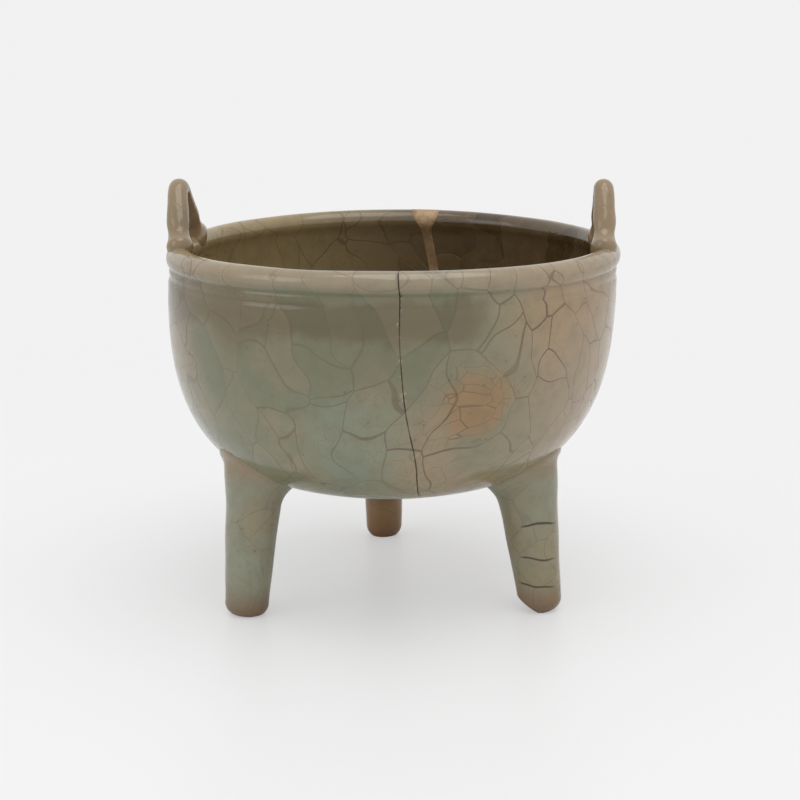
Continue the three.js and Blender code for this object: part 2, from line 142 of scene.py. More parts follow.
class BurnerSettings(bpy.types.PropertyGroup):
    """Sizes and colours of the burner"""

    wall_thickness: length_property("Wall thickness", "Clay between the outside and the inside", 4.7)
    lip_bead: length_property("Lip bead radius", "Half the thickness of the rolled lip", 3.3)
    crack_gap: length_property("Break gap", "Open width of the break between the shards", 0.14)
    coil_radius: length_property("Coil radius", "Half the thickness of a loop's coil", 3.15)
    apex_radius: length_property("Coil apex radius", "Half the thickness at the top of a loop", 2.75)
    luting_reach: length_property("Leg luting reach", "Clay spread round a leg's top", 3.4)
    crackle_cell: length_property("Crackle cell", "Usual width of a cell of the crackle", 12.0)
    celadon: colour_property("Celadon", "Grey-green of the glaze", (117, 122, 97))
    tan: colour_property("Warm glaze", "Tan of the oxidised side", (160, 137, 106))
    olive: colour_property("Olive glaze", "Glaze where it pooled thick", (98, 91, 64))
    inside: colour_property("Inside glaze", "Brown glaze of the inside", (152, 134, 95))
    stain: colour_property("Crackle stain", "Tea-brown in the crackle lines", (84, 62, 38))
    body: colour_property("Fired clay", "Bare clay at chips and worn tips", (112, 74, 42))
    filler: colour_property("Filler", "Putty of the mend", (122, 98, 66))
    floor: colour_property("Floor", "Pale studio floor", (240, 240, 241))


# Shape of the bowl

def clamp(value, low=0.0, high=1.0):
    return max(low, min(high, value))


def lerp(start, end, share):
    return start + (end - start) * share


def smoothstep(value, low, high):
    share = clamp((value - low) / (high - low))
    return share * share * (3 - 2 * share)


def belly_point(angle, radius, depth):
    across = math.sin(angle) ** (2 / BELLY_FULLNESS)
    below = max(math.cos(angle), 0.0) ** (2 / UNDERSIDE_FLATNESS)
    return radius * across, WIDEST_HEIGHT - depth * below


def steps(count, start, end):
    return [lerp(start, end, i / count) for i in range(count + 1)]


def bowl_profile(settings):
    """Radius and height along the outside, over the lip and down the inside, in millimetres."""
    bead = settings.lip_bead / MM
    inner = WALL_RADIUS - settings.wall_thickness / MM
    band_top = LIP_HEIGHT - bead * math.sin(math.radians(-LIP_START_ANGLE))
    outside = [belly_point(a, WALL_RADIUS, BELLY_HEIGHT) for a in steps(64, 0, math.pi / 2)]
    band = [
        (WALL_RADIUS - 0.1, band_top - BAND_HEIGHT - 1.6),
        (WALL_RADIUS - 0.32, band_top - BAND_HEIGHT - 0.9),
        (WALL_RADIUS - 0.55, band_top - BAND_HEIGHT - 0.4),
        (WALL_RADIUS - 0.42, band_top - BAND_HEIGHT * 0.8),
        (WALL_RADIUS - 0.3, band_top - BAND_HEIGHT * 0.55),
        (WALL_RADIUS - 0.42, band_top - BAND_HEIGHT * 0.3),
        (WALL_RADIUS - 0.8, band_top - 0.4),
    ]
    lip = [
        (LIP_RADIUS + bead * math.cos(math.radians(a)), LIP_HEIGHT + bead * math.sin(math.radians(a)))
        for a in steps(26, LIP_START_ANGLE, LIP_END_ANGLE)
    ]
    throat = [(inner + 0.1, LIP_HEIGHT - bead - 0.6)]
    inside = [belly_point(a, inner, BELLY_HEIGHT - FLOOR_THICKNESS) for a in steps(48, math.pi / 2, 0)]
    return outside + band, lip + throat + inside


def slump_at(height):
    return SLUMP_AT_LIP - SLUMP * clamp((LIP_HEIGHT - height) / (LIP_HEIGHT - UNDERSIDE_HEIGHT))


def dip_at(x, height):
    depth = LEFT_DIP if x < 0 else RIGHT_DIP
    aside = min(abs(x) / LIP_RADIUS, 1.0)
    return depth * aside ** 2 * smoothstep(height, WIDEST_HEIGHT - NECK_HEIGHT, LIP_HEIGHT)


def sagged(point):
    """A point in millimetres after the bowl's sagging in the kiln, in metres."""
    x, y, z = point
    return Vector((x + slump_at(z), y, z - dip_at(x, z))) * MM


def break_at(y, z):
    """How far to the right the break lies, all in millimetres."""
    below = LIP_HEIGHT - z
    wave = math.sin(2 * math.pi * (below + BREAK_WAVE_SKEW * y) / BREAK_WAVE_LENGTH)
    ripple = math.sin(2 * math.pi * (BREAK_RIPPLE_RATE * below - y) / BREAK_WAVE_LENGTH)
    bend = BREAK_WAVE * (wave + BREAK_RIPPLE_SHARE * ripple)
    return BREAK_OFFSET + BREAK_SKEW * y + BREAK_LEAN * below + bend


def roughen(bm, height, size, seed=0.0):
    """Moves the points along their normals by soft noise, as of a hand-made surface."""
    bm.normal_update()
    moves = [(v, v.normal * height * noise.noise(v.co / size + Vector((seed, seed, seed)))) for v in bm.verts]
    for vertex, move in moves:
        vertex.co += move


def ring_loft(rows):
    """Joins rings of equally many points into a tube with capped ends."""
    bm = bmesh.new()
    layers = [list(bmesh.ops.create_circle(bm, segments=len(rows[0]), radius=1)["verts"])]
    edges = list({e for v in layers[0] for e in v.link_edges})
    for _ in rows[1:]:
        made = bmesh.ops.extrude_edge_only(bm, edges=edges)["geom"]
        fresh = {g for g in made if isinstance(g, bmesh.types.BMVert)}
        layers.append([
            next(e.other_vert(v) for e in v.link_edges if e.other_vert(v) in fresh) for v in layers[-1]])
        edges = [g for g in made if isinstance(g, bmesh.types.BMEdge) and all(v in fresh for v in g.verts)]
    for row, layer in zip(rows, layers):
        for point, vertex in zip(row, layer):
            vertex.co = point
    for layer in (layers[0], layers[-1]):
        rim = {e for v in layer for e in v.link_edges if e.other_vert(v) in layer}
        bmesh.ops.contextual_create(bm, geom=list(rim))
    return bm


def cut_away(bm, place, normal, near):
    """Removes what lies on the normal's side of a plane and closes the cut."""
    parts = list(bm.verts) + list(bm.edges) + list(bm.faces)
    cut = bmesh.ops.bisect_plane(
        bm, geom=parts, dist=near, plane_co=place, plane_no=normal, clear_outer=True)
    rim = [e for e in cut["geom_cut"] if isinstance(e, bmesh.types.BMEdge)]
    if not rim:
        raise RuntimeError("the cutting plane misses the piece")
    bmesh.ops.triangle_fill(bm, use_beauty=True, edges=rim)


def finish_piece(name, bm, material):
    """Closes the mesh into an object at the origin with smooth faces."""
    bmesh.ops.recalc_face_normals(bm, faces=bm.faces)
    open_edges = [e for e in bm.edges if len(e.link_faces) != 2]
    if open_edges:
        raise RuntimeError(f"{name} isn't closed: {len(open_edges)} open edges")
    mesh = bpy.data.meshes.new(name)
    for face in bm.faces:
        face.smooth = True
    bm.to_mesh(mesh)
    bm.free()
    mesh.materials.append(material)
    piece = bpy.data.objects.new(name, mesh)
    bpy.context.scene.collection.objects.link(piece)
    return piece


def dress(piece, slot, *nodes):
    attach(piece, "root")
    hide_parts(*nodes)


# Shader helpers

def add(tree, kind, inputs=None, **settings):
    node = tree.nodes.new(kind)
    for key, value in settings.items():
        setattr(node, key, value)
    for key, value in (inputs or {}).items():
        if isinstance(value, bpy.types.NodeSocket):
            tree.links.new(value, node.inputs[key])
        else:
            node.inputs[key].default_value = value
    return node


def calc(tree, operation, *values, clamped=False):
    inputs = dict(enumerate(values))
    return add(tree, "ShaderNodeMath", inputs, operation=operation, use_clamp=clamped).outputs[0]


def remap(tree, value, low, high, to_low=0.0, to_high=1.0):
    inputs = {0: value, 1: low, 2: high, 3: to_low, 4: to_high}
    return add(tree, "ShaderNodeMapRange", inputs, interpolation_type="SMOOTHSTEP").outputs[0]


def blend(tree, factor, first, second):
    inputs = {0: factor, 6: first, 7: second}
    return add(tree, "ShaderNodeMix", inputs, data_type="RGBA").outputs[2]


def cloud(tree, vector, scale, detail=3.0, rough=0.55):
    inputs = {"Vector": vector, "Scale": scale, "Detail": detail, "Roughness": rough}
    return add(tree, "ShaderNodeTexNoise", inputs)


def new_group(name, inputs, outputs):
    tree = bpy.data.node_groups.new(name, "ShaderNodeTree")
    for label, kind, default in inputs:
        socket = tree.interface.new_socket(label, in_out="INPUT", socket_type=kind)
        if default is not None:
            socket.default_value = default
    for label, kind in outputs:
        tree.interface.new_socket(label, in_out="OUTPUT", socket_type=kind)
    return tree, tree.nodes.new("NodeGroupInput").outputs, tree.nodes.new("NodeGroupOutput").inputs


FLOAT = "NodeSocketFloat"
VECTOR = "NodeSocketVector"


def crackle_group():
    """Lines between the cells of a crackled glaze, and one value for each cell."""
    tree, given, out = new_group(
        "Glaze crackle",
        [("Coordinates", VECTOR, None), ("Cell Size", FLOAT, 0.009), ("Line Width", FLOAT, 0.0002),
         ("Stretch", FLOAT, 0.6)],
        [("Lines", FLOAT), ("Cell", FLOAT)])
    bend = cloud(tree, given["Coordinates"], 30.0, 1.5).outputs["Color"]
    bend = add(tree, "ShaderNodeVectorMath", {0: bend, 1: (0.5, 0.5, 0.5)}, operation="SUBTRACT").outputs[0]
    bend = add(tree, "ShaderNodeVectorMath", {0: bend, "Scale": 0.034}, operation="SCALE").outputs[0]
    warped = add(tree, "ShaderNodeVectorMath", {0: given["Coordinates"], 1: bend}, operation="ADD").outputs[0]
    upright = add(tree, "ShaderNodeCombineXYZ", {0: 1.0, 1: 1.0, 2: given["Stretch"]}).outputs[0]
    warped = add(tree, "ShaderNodeVectorMath", {0: warped, 1: upright}, operation="MULTIPLY").outputs[0]
    scale = calc(tree, "DIVIDE", 1.0, given["Cell Size"])
    edge = add(tree, "ShaderNodeTexVoronoi", {"Vector": warped, "Scale": scale}, feature="DISTANCE_TO_EDGE")
    away = calc(tree, "MULTIPLY", edge.outputs["Distance"], given["Cell Size"])
    half = calc(tree, "MULTIPLY", given["Line Width"], 0.5)
    lines = remap(tree, away, half, calc(tree, "MULTIPLY", half, 2.6), 1.0, 0.0)
    cell = add(tree, "ShaderNodeTexVoronoi", {"Vector": warped, "Scale": scale})
    tree.links.new(lines, out["Lines"])
    tree.links.new(add(tree, "ShaderNodeSeparateColor", {0: cell.outputs["Color"]}).outputs[0], out["Cell"])
    return tree


def patch_group():
    """A soft-edged round patch with a ragged outline."""
    tree, given, out = new_group(
        "Glaze patch",
        [("Coordinates", VECTOR, None), ("Centre", VECTOR, None), ("Radius", FLOAT, 0.01),
         ("Ragged", FLOAT, 0.5)],
        [("Mask", FLOAT)])
    ends = {0: given["Coordinates"], 1: given["Centre"]}
    away = add(tree, "ShaderNodeVectorMath", ends, operation="DISTANCE")
    torn = cloud(tree, given["Coordinates"], 120.0, 4.0).outputs[0]
    torn = calc(tree, "MULTIPLY", calc(tree, "SUBTRACT", torn, 0.5), given["Ragged"])
    share = calc(tree, "DIVIDE", away.outputs["Value"], given["Radius"])
    share = calc(tree, "ADD", share, calc(tree, "MULTIPLY", torn, 2.0))
    tree.links.new(remap(tree, share, 0.45, 1.1, 1.0, 0.0), out["Mask"])
    return tree


def break_group():
    """The break's line and its chipped edge, by how far a point lies from the break surface."""
    tree, given, out = new_group(
        "Break line", [("Coordinates", VECTOR, None)], [("Line", FLOAT), ("Chips", FLOAT)])
    place = add(tree, "ShaderNodeSeparateXYZ", {0: given["Coordinates"]}).outputs
    x, y, z = (calc(tree, "DIVIDE", place[i], MM) for i in range(3))
    below = calc(tree, "SUBTRACT", LIP_HEIGHT, z)
    turn = 2 * math.pi / BREAK_WAVE_LENGTH
    slid = calc(tree, "MULTIPLY_ADD", y, BREAK_WAVE_SKEW, below)
    wave = calc(tree, "SINE", calc(tree, "MULTIPLY", slid, turn))
    ripple = calc(tree, "SUBTRACT", calc(tree, "MULTIPLY", below, BREAK_RIPPLE_RATE), y)
    ripple = calc(tree, "SINE", calc(tree, "MULTIPLY", ripple, turn))
    bend = calc(tree, "MULTIPLY", calc(tree, "MULTIPLY_ADD", ripple, BREAK_RIPPLE_SHARE, wave), BREAK_WAVE)
    line = calc(tree, "MULTIPLY_ADD", y, BREAK_SKEW, BREAK_OFFSET)
    line = calc(tree, "ADD", line, calc(tree, "MULTIPLY", below, BREAK_LEAN))
    away = calc(tree, "ABSOLUTE", calc(tree, "SUBTRACT", x, calc(tree, "ADD", line, bend)))
    ragged = cloud(tree, given["Coordinates"], 420.0, 3.0).outputs[0]
    tree.links.new(remap(tree, away, 0.09, 0.26, 1.0, 0.0), out["Line"])
    chip_width = calc(tree, "MULTIPLY", remap(tree, ragged, 0.5, 0.72), 1.3)
    chips = calc(tree, "LESS_THAN", away, chip_width)
    tree.links.new(chips, out["Chips"])
    return tree


def hollow_group():
    """1 on the inside of the bowl and 0 on the outside, changing over the top of the lip."""
    tree, given, out = new_group("Inside of the bowl", [("Coordinates", VECTOR, None)], [("Mask", FLOAT)])
    place = add(tree, "ShaderNodeSeparateXYZ", {0: given["Coordinates"]}).outputs
    flat = add(tree, "ShaderNodeCombineXYZ", {0: place[0], 1: place[1]}).outputs[0]
    reach = add(tree, "ShaderNodeVectorMath", {0: flat}, operation="LENGTH").outputs["Value"]
    wide = calc(tree, "POWER", calc(tree, "DIVIDE", reach, 59.9 * MM), BELLY_FULLNESS)
    drop = calc(tree, "MAXIMUM", calc(tree, "SUBTRACT", WIDEST_HEIGHT * MM, place[2]), 0.0)
    deep = calc(tree, "POWER", calc(tree, "DIVIDE", drop, 49.5 * MM), UNDERSIDE_FLATNESS)
    tree.links.new(remap(tree, calc(tree, "ADD", wide, deep), 0.9, 1.06, 1.0, 0.0), out["Mask"])
    return tree


# Stains in the bowl's glaze: centre and radius in metres, display colour, strength
STAINS = (
    ((0.022, -0.057, 0.067), 0.012, (150, 112, 66), 0.8),
    ((0.046, -0.042, 0.093), 0.018, (158, 132, 98), 0.7),
    ((-0.042, -0.046, 0.087), 0.010, (92, 82, 56), 0.75),
    ((-0.01, -0.058, 0.055), 0.018, (116, 132, 114), 0.6),
)
# Short cracks across the front of the right leg, above the floor in metres
LEG_CRACK_HEIGHTS = (0.0265, 0.0175, 0.0098)
LARGE_LINE = 0.00018
SMALL_LINE = 0.00008
SMALL_CELL_SHARE = 0.3
GROUPS = {}


def group(tree, name, inputs):
    return add(tree, "ShaderNodeGroup", inputs, node_tree=GROUPS[name]).outputs


def colour(value):
    return (*value, 1.0)


def bowl_tint(tree, where, place, broad, settings, tint):
    """The bowl's colours: tan to the right, the olive band under the lip, stains, and the inside, darkened
    towards the right by painted shade.
    """
    side = remap(tree, place[0], 0.006, 0.056)
    tint = blend(tree, calc(tree, "MULTIPLY", side, 0.85), tint, colour(settings.tan))
    ragged = cloud(tree, where, 70.0, 5.0, 0.65).outputs[0]
    torn = calc(tree, "MULTIPLY_ADD", ragged, 0.012, -0.006)
    level = calc(tree, "ADD", place[2], torn)
    band = remap(tree, level, 0.0815, 0.0855)
    band = calc(tree, "MULTIPLY", band, remap(tree, level, 0.0925, 0.0955, 1.0, 0.0))
    band_end = remap(tree, calc(tree, "ADD", place[0], torn), 0.018, 0.027, 1.0, 0.0)
    band = calc(tree, "MULTIPLY", band, band_end)
    haze = remap(tree, place[2], 0.05, 0.088, 0.0, 0.5)
    haze = calc(tree, "MULTIPLY", haze, remap(tree, place[0], 0.0, 0.03, 1.0, 0.0))
    tint = blend(tree, haze, tint, colour(settings.olive))
    tint = blend(tree, calc(tree, "MULTIPLY", band, 0.7), tint, srgb(84, 75, 42))
    for centre, radius, tone, share in STAINS:
        patch = group(tree, "patch", {"Coordinates": where, "Centre": centre, "Radius": radius})["Mask"]
        tint = blend(tree, calc(tree, "MULTIPLY", patch, share), tint, srgb(*tone))
    lip = remap(tree, place[2], 0.0955, 0.0985)
    tint = blend(tree, calc(tree, "MULTIPLY", lip, 0.75), tint, srgb(156, 140, 116))
    inside = group(tree, "hollow", {"Coordinates": where})["Mask"]
    # Painted shade: the inside's brown glaze darkens from left to right into a dark brown, where the inside
    # wall falls into shade.
    deep = blend(tree, remap(tree, place[0], -0.045, 0.025), colour(settings.inside), srgb(66, 48, 26))
    return blend(tree, inside, tint, deep)


def glaze_material(
        name, settings, base, second, stretch=0.6, cell=None, tip_height=0.0, lines=0.72, on_bowl=False):
    """Crackled glaze: mottled colour, two sizes of crackle, specks, wear at the tips and, on the bowl,
    its bands, stains, inside with its painted shade, and break."""
    material = bpy.data.materials.new(name)
    material.use_nodes = True
    tree = material.node_tree
    shader = tree.nodes["Principled BSDF"]
    where = add(tree, "ShaderNodeTexCoord").outputs["Object"]
    place = add(tree, "ShaderNodeSeparateXYZ", {0: where}).outputs
    broad = cloud(tree, where, 28.0, 3.0).outputs[0]
    fine = cloud(tree, where, 240.0, 4.0, 0.6).outputs[0]
    tint = blend(tree, remap(tree, broad, 0.42, 0.66, 0.0, 0.7), colour(base), colour(second))
    if on_bowl:
        tint = bowl_tint(tree, where, place, broad, settings, tint)
    tint = blend(tree, remap(tree, fine, 0.35, 0.75, 0.0, 0.3), tint, colour(settings.olive))

    cell = cell or settings.crackle_cell
    large = group(tree, "crackle", {
        "Coordinates": where, "Cell Size": cell, "Line Width": LARGE_LINE, "Stretch": stretch})
    small = group(tree, "crackle", {
        "Coordinates": where, "Cell Size": cell * SMALL_CELL_SHARE, "Line Width": SMALL_LINE, "Stretch": 0.9})
    strong = calc(tree, "MULTIPLY", remap(tree, broad, 0.34, 0.66, 0.35, 1.0), lines)
    faint = calc(tree, "MULTIPLY", remap(tree, broad, 0.45, 0.62, 0.04, 0.35), lines)
    if on_bowl:
        strong = calc(tree, "MULTIPLY", strong, remap(tree, place[0], -0.02, 0.04, 0.75, 1.25))
        centre, radius = STAINS[0][:2]
        crazed = {"Coordinates": where, "Centre": centre, "Radius": radius * 1.3}
        crazed = group(tree, "patch", crazed)["Mask"]
        faint = calc(tree, "ADD", faint, calc(tree, "MULTIPLY", crazed, 0.45))
    tint = blend(tree, remap(tree, large["Cell"], 0.0, 1.0, 0.0, 0.14), tint, colour(second))
    tint = blend(tree, calc(tree, "MULTIPLY", large["Lines"], strong), tint, colour(settings.stain))
    tint = blend(tree, calc(tree, "MULTIPLY", small["Lines"], faint), tint, colour(settings.stain))
    specks = add(tree, "ShaderNodeTexVoronoi", {"Vector": where, "Scale": 420.0})
    speck = remap(tree, specks.outputs["Distance"], 0.1, 0.2, 1.0, 0.0)
    speck = calc(tree, "MULTIPLY", speck, remap(tree, fine, 0.52, 0.6))
    tint = blend(tree, calc(tree, "MULTIPLY", speck, 0.4), tint, colour(settings.stain))
    relief = calc(tree, "MULTIPLY", large["Lines"], -0.4)
    if tip_height:
        level = calc(tree, "MULTIPLY_ADD", fine, 0.003, place[2])
        worn = remap(tree, level, 0.0025, tip_height, 1.0, 0.0)
        tint = blend(tree, calc(tree, "MULTIPLY", worn, 0.7), tint, colour(settings.body))
        joint = remap(tree, place[2], 0.036, 0.043, 0.0, 0.55)
        tint = blend(tree, joint, tint, srgb(138, 108, 70))
        near = remap(tree, place[0], 0.0345, 0.0365)
        near = calc(tree, "MULTIPLY", near, remap(tree, place[0], 0.043, 0.046, 1.0, 0.0))
        near = calc(tree, "MULTIPLY", near, remap(tree, place[1], -0.022, -0.020, 1.0, 0.0))
        for crack_height in LEG_CRACK_HEIGHTS:
            off = calc(tree, "MULTIPLY_ADD", broad, 0.012, place[2])
            off = calc(tree, "SUBTRACT", off, crack_height + 0.006)
            crack = remap(tree, calc(tree, "ABSOLUTE", off), 0.00012, 0.00042, 1.0, 0.0)
            tint = blend(tree, calc(tree, "MULTIPLY", crack, near), tint, srgb(62, 46, 30))
    if on_bowl:
        seam = group(tree, "break", {"Coordinates": where})
        tint = blend(tree, calc(tree, "MULTIPLY", seam["Chips"], 0.5), tint, srgb(172, 154, 124))
        solid_line = calc(tree, "MULTIPLY", seam["Line"], remap(tree, fine, 0.36, 0.52, 0.4, 1.0))
        tint = blend(tree, solid_line, tint, srgb(66, 46, 28))
        relief = calc(tree, "SUBTRACT", relief, calc(tree, "MULTIPLY", seam["Chips"], 0.6))
    relief = calc(tree, "ADD", relief, calc(tree, "MULTIPLY", fine, 0.35))
    relief = calc(tree, "ADD", relief, calc(tree, "MULTIPLY", broad, 2.0))
    bump = add(tree, "ShaderNodeBump", {"Height": relief, "Strength": 0.4, "Distance": 0.00022})
    tree.links.new(tint, shader.inputs["Base Color"])
    tree.links.new(remap(tree, fine, 0.3, 0.75, 0.08, 0.24), shader.inputs["Roughness"])
    tree.links.new(bump.outputs[0], shader.inputs["Normal"])
    shader.inputs["IOR"].default_value = 1.6
    return material


def filler_material(settings):
    """Matt putty of the mend, a little uneven in colour."""
    material = bpy.data.materials.new("Mending filler")
    material.use_nodes = True
    tree = material.node_tree
    shader = tree.nodes["Principled BSDF"]
    where = add(tree, "ShaderNodeTexCoord").outputs["Object"]
    grain = cloud(tree, where, 900.0, 4.0).outputs[0]
    patches = cloud(tree, where, 140.0, 3.0).outputs[0]
    tint = blend(tree, remap(tree, patches, 0.35, 0.65), colour(settings.filler), srgb(176, 146, 112))
    tint = blend(tree, remap(tree, grain, 0.5, 0.75, 0.0, 0.4), tint, colour(settings.body))
    bump = add(tree, "ShaderNodeBump", {"Height": grain, "Strength": 0.5, "Distance": 0.0002})
    tree.links.new(tint, shader.inputs["Base Color"])
    tree.links.new(remap(tree, grain, 0.3, 0.7, 0.42, 0.65), shader.inputs["Roughness"])
    tree.links.new(bump.outputs[0], shader.inputs["Normal"])
    return material


# Operators

class BURNER_OT_bowl(bpy.types.Operator):
    """Spins the bowl, sags it, and parts it along the break into two shards"""

    bl_idname = "burner.bowl"
    bl_label = "Bowl Shards"

    def execute(self, context):
        settings = context.scene.burner
        glaze = glaze_material(
            "Celadon crackle glaze", settings, settings.celadon, settings.tan, on_bowl=True)
        gap = settings.crack_gap / MM / 2
        for side, name in ((-1, "bowl_left_shard"), (1, "bowl_right_shard")):
            bm = bmesh.new()
            outer, inner = bowl_profile(settings)
            points = [bm.verts.new((r, 0, z)) for r, z in outer + inner]
            edges = [bm.edges.new(pair) for pair in zip(points, points[1:])]
            bmesh.ops.spin(
                bm, geom=points + edges, cent=(0, 0, 0), axis=(0, 0, 1), angle=2 * math.pi, steps=288,
                use_merge=True, use_duplicate=False)
            bmesh.ops.remove_doubles(bm, verts=bm.verts, dist=0.001)
            bmesh.ops.recalc_face_normals(bm, faces=bm.faces)
            for vertex in bm.verts:
                vertex.co = sagged(vertex.co)
            roughen(bm, 0.22 * MM, 22 * MM)
            for vertex in bm.verts:
                x, y, z = vertex.co / MM
                vertex.co = Vector((x - break_at(y, z), y, z))
            cut_away(bm, (side * gap, 0, 0), (-side, 0, 0), 1e-5)
            for vertex in bm.verts:
                x, y, z = vertex.co
                vertex.co = Vector((x + break_at(y, z), y, z)) * MM
            piece = finish_piece(name + "_glazed", bm, glaze)
            dress(piece, "bowl_glaze", name)
        return {"FINISHED"}


class BURNER_OT_filler(bpy.types.Operator):
    """Lays the filler along the break inside the back wall and over the back of the lip"""

    bl_idname = "burner.filler"
    bl_label = "Break Filler"

    def execute(self, context):
        settings = context.scene.burner
        bead = settings.lip_bead / MM
        _, inner = bowl_profile(settings)
        path = [(r, z) for r, z in reversed(inner) if z > FILL_BOTTOM_HEIGHT]
        path = [(r, z) for r, z in path if z >= LIP_HEIGHT + FILL_LIP_RISE or r <= LIP_RADIUS]
        bm = bmesh.new()
        columns = 12
        bmesh.ops.create_grid(bm, x_segments=columns, y_segments=len(path) - 1, size=0.5)
        for vertex in bm.verts:
            across = vertex.co.x * 2
            r, z = path[round((vertex.co.y + 0.5) * (len(path) - 1))]
            rise = smoothstep(z, LIP_HEIGHT - bead, LIP_HEIGHT + bead)
            half = lerp(FILL_HALF_WIDTH, FILL_LIP_HALF_WIDTH, rise)
            y = r
            for _ in range(4):
                x = break_at(y, z) + across * half - slump_at(z)
                y = math.sqrt(max(r * r - x * x, 0))
            vertex.co = sagged((x, y, z))
        bmesh.ops.recalc_face_normals(bm, faces=bm.faces)
        bm.normal_update()
        up = sum((f.normal.z - f.normal.y for f in bm.faces))
        if up < 0:
            bmesh.ops.reverse_faces(bm, faces=bm.faces)
            bm.normal_update()
        for vertex in bm.verts:
            edge = any(len(e.link_faces) == 1 for e in vertex.link_edges)
            vertex.co += vertex.normal * (-0.35 if edge else 0.14) * MM
        bmesh.ops.solidify(bm, geom=list(bm.faces), thickness=0.9 * MM)
        piece = finish_piece("break_filler_putty", bm, filler_material(settings))
        dress(piece, "filler", "break_filler")
        return {"FINISHED"}


def inside_bowl(point):
    """Whether a point in millimetres lies above the bowl's underside surface."""
    reach = math.hypot(point.x - slump_at(point.z), point.y) / WALL_RADIUS
    drop = max(WIDEST_HEIGHT - point.z, 0) / BELLY_HEIGHT
    return reach < 1 and reach ** BELLY_FULLNESS + drop ** UNDERSIDE_FLATNESS < 1


class BURNER_OT_legs(bpy.types.Operator):
    """Lofts the three legs up into the bowl's underside, with the luting clay spread round their tops"""

    bl_idname = "burner.legs"
    bl_label = "Legs"

    segments: bpy.props.IntProperty(name="Segments", description="Points round a leg", default=64, min=12)

    def execute(self, context):
        settings = context.scene.burner
        reach_full = settings.luting_reach / MM
        bright = glaze_material(
            "Leg glaze", settings, srgb(134, 136, 116)[:3], srgb(140, 124, 90)[:3],
            stretch=0.8, cell=0.011, tip_height=0.012, lines=0.22)
        dark = glaze_material(
            "Dark leg glaze", settings, srgb(150, 112, 68)[:3], srgb(120, 92, 56)[:3],
            stretch=0.8, cell=0.011, tip_height=0.012, lines=0.2)
        for name, leg in LEGS.items():
            angle = math.radians(leg["angle"] + LEG_RING_TURN)
            outward = Vector((math.cos(angle), math.sin(angle), 0))
            side = Vector((0, 0, 1)).cross(outward)
            tilt = Quaternion(side, -math.radians(leg["lean"]))
            axis = tilt @ Vector((0, 0, 1))
            out = tilt @ outward
            foot = Vector((LEG_RING_OFFSET, 0, 0)) + outward * LEG_RING_RADIUS

            def radius_at(along, leg=leg):
                share = max(along, 0) / (UNDERSIDE_HEIGHT + 8.3)
                return lerp(leg["foot"], leg["top"], share ** LEG_SWELL)

            def surface(around, radius, along, foot=foot, axis=axis, out=out, side=side):
                spread = out * math.cos(around) + side * math.sin(around)
                return foot + axis * along + spread * radius

            count = self.segments
            columns = []
            for i in range(count):
                around = 2 * math.pi * i / count
                low, high = 5.0, WIDEST_HEIGHT
                for _ in range(30):
                    middle = (low + high) / 2
                    if inside_bowl(surface(around, radius_at(middle), middle)):
                        high = middle
                    else:
                        low = middle
                facing_in = (1 - math.cos(around)) / 2
                reach = lerp(1.2, reach_full, facing_in)
                down = 5.0 * reach / reach_full + 1.5
                top = high
                column = []
                start = -FOOT_FLAT_RADIUS * math.tan(math.radians(leg["lean"]))
                rounding = radius_at(TIP_ROUNDING) - FOOT_FLAT_RADIUS
                for turn in steps(9, 0, math.pi / 2):
                    column.append((
                        FOOT_FLAT_RADIUS + rounding * math.sin(turn),
                        start + TIP_ROUNDING * (1 - math.cos(turn))))
                for along in steps(44, start + TIP_ROUNDING, top + LEG_SINK)[1:]:
                    flare = reach * clamp(1 - (top - along) / down) ** 2.2 if along > top - down else 0.0
                    column.append((radius_at(along) + min(flare, reach), along))
                columns.append([surface(around, radius, along) for radius, along in column])
            rows = [
                [Vector((c[level].x, c[level].y, max(c[level].z, 0.0))) * MM for c in columns]
                for level in range(len(columns[0]))]
            bm = ring_loft(rows)
            if leg["chip"]:
                chip_angle = math.radians(CHIP_ANGLE)
                direction = Vector((math.cos(chip_angle), math.sin(chip_angle), 0))
                slope = direction * leg["chip"] - Vector((0, 0, CHIP_WIDTH))
                edge = (foot + direction * (leg["foot"] - CHIP_WIDTH)) * MM
                cut_away(bm, edge, slope.normalized(), 1e-8)
            roughen(bm, 0.3 * MM, 9 * MM, leg["angle"])
            for vertex in bm.verts:
                vertex.co.z = max(vertex.co.z, 0.0)
            piece = finish_piece(name + "_glazed", bm, dark if name == "leg_back" else bright)
            dress(piece, "leg_glaze", name, name + "_luting")
        return {"FINISHED"}


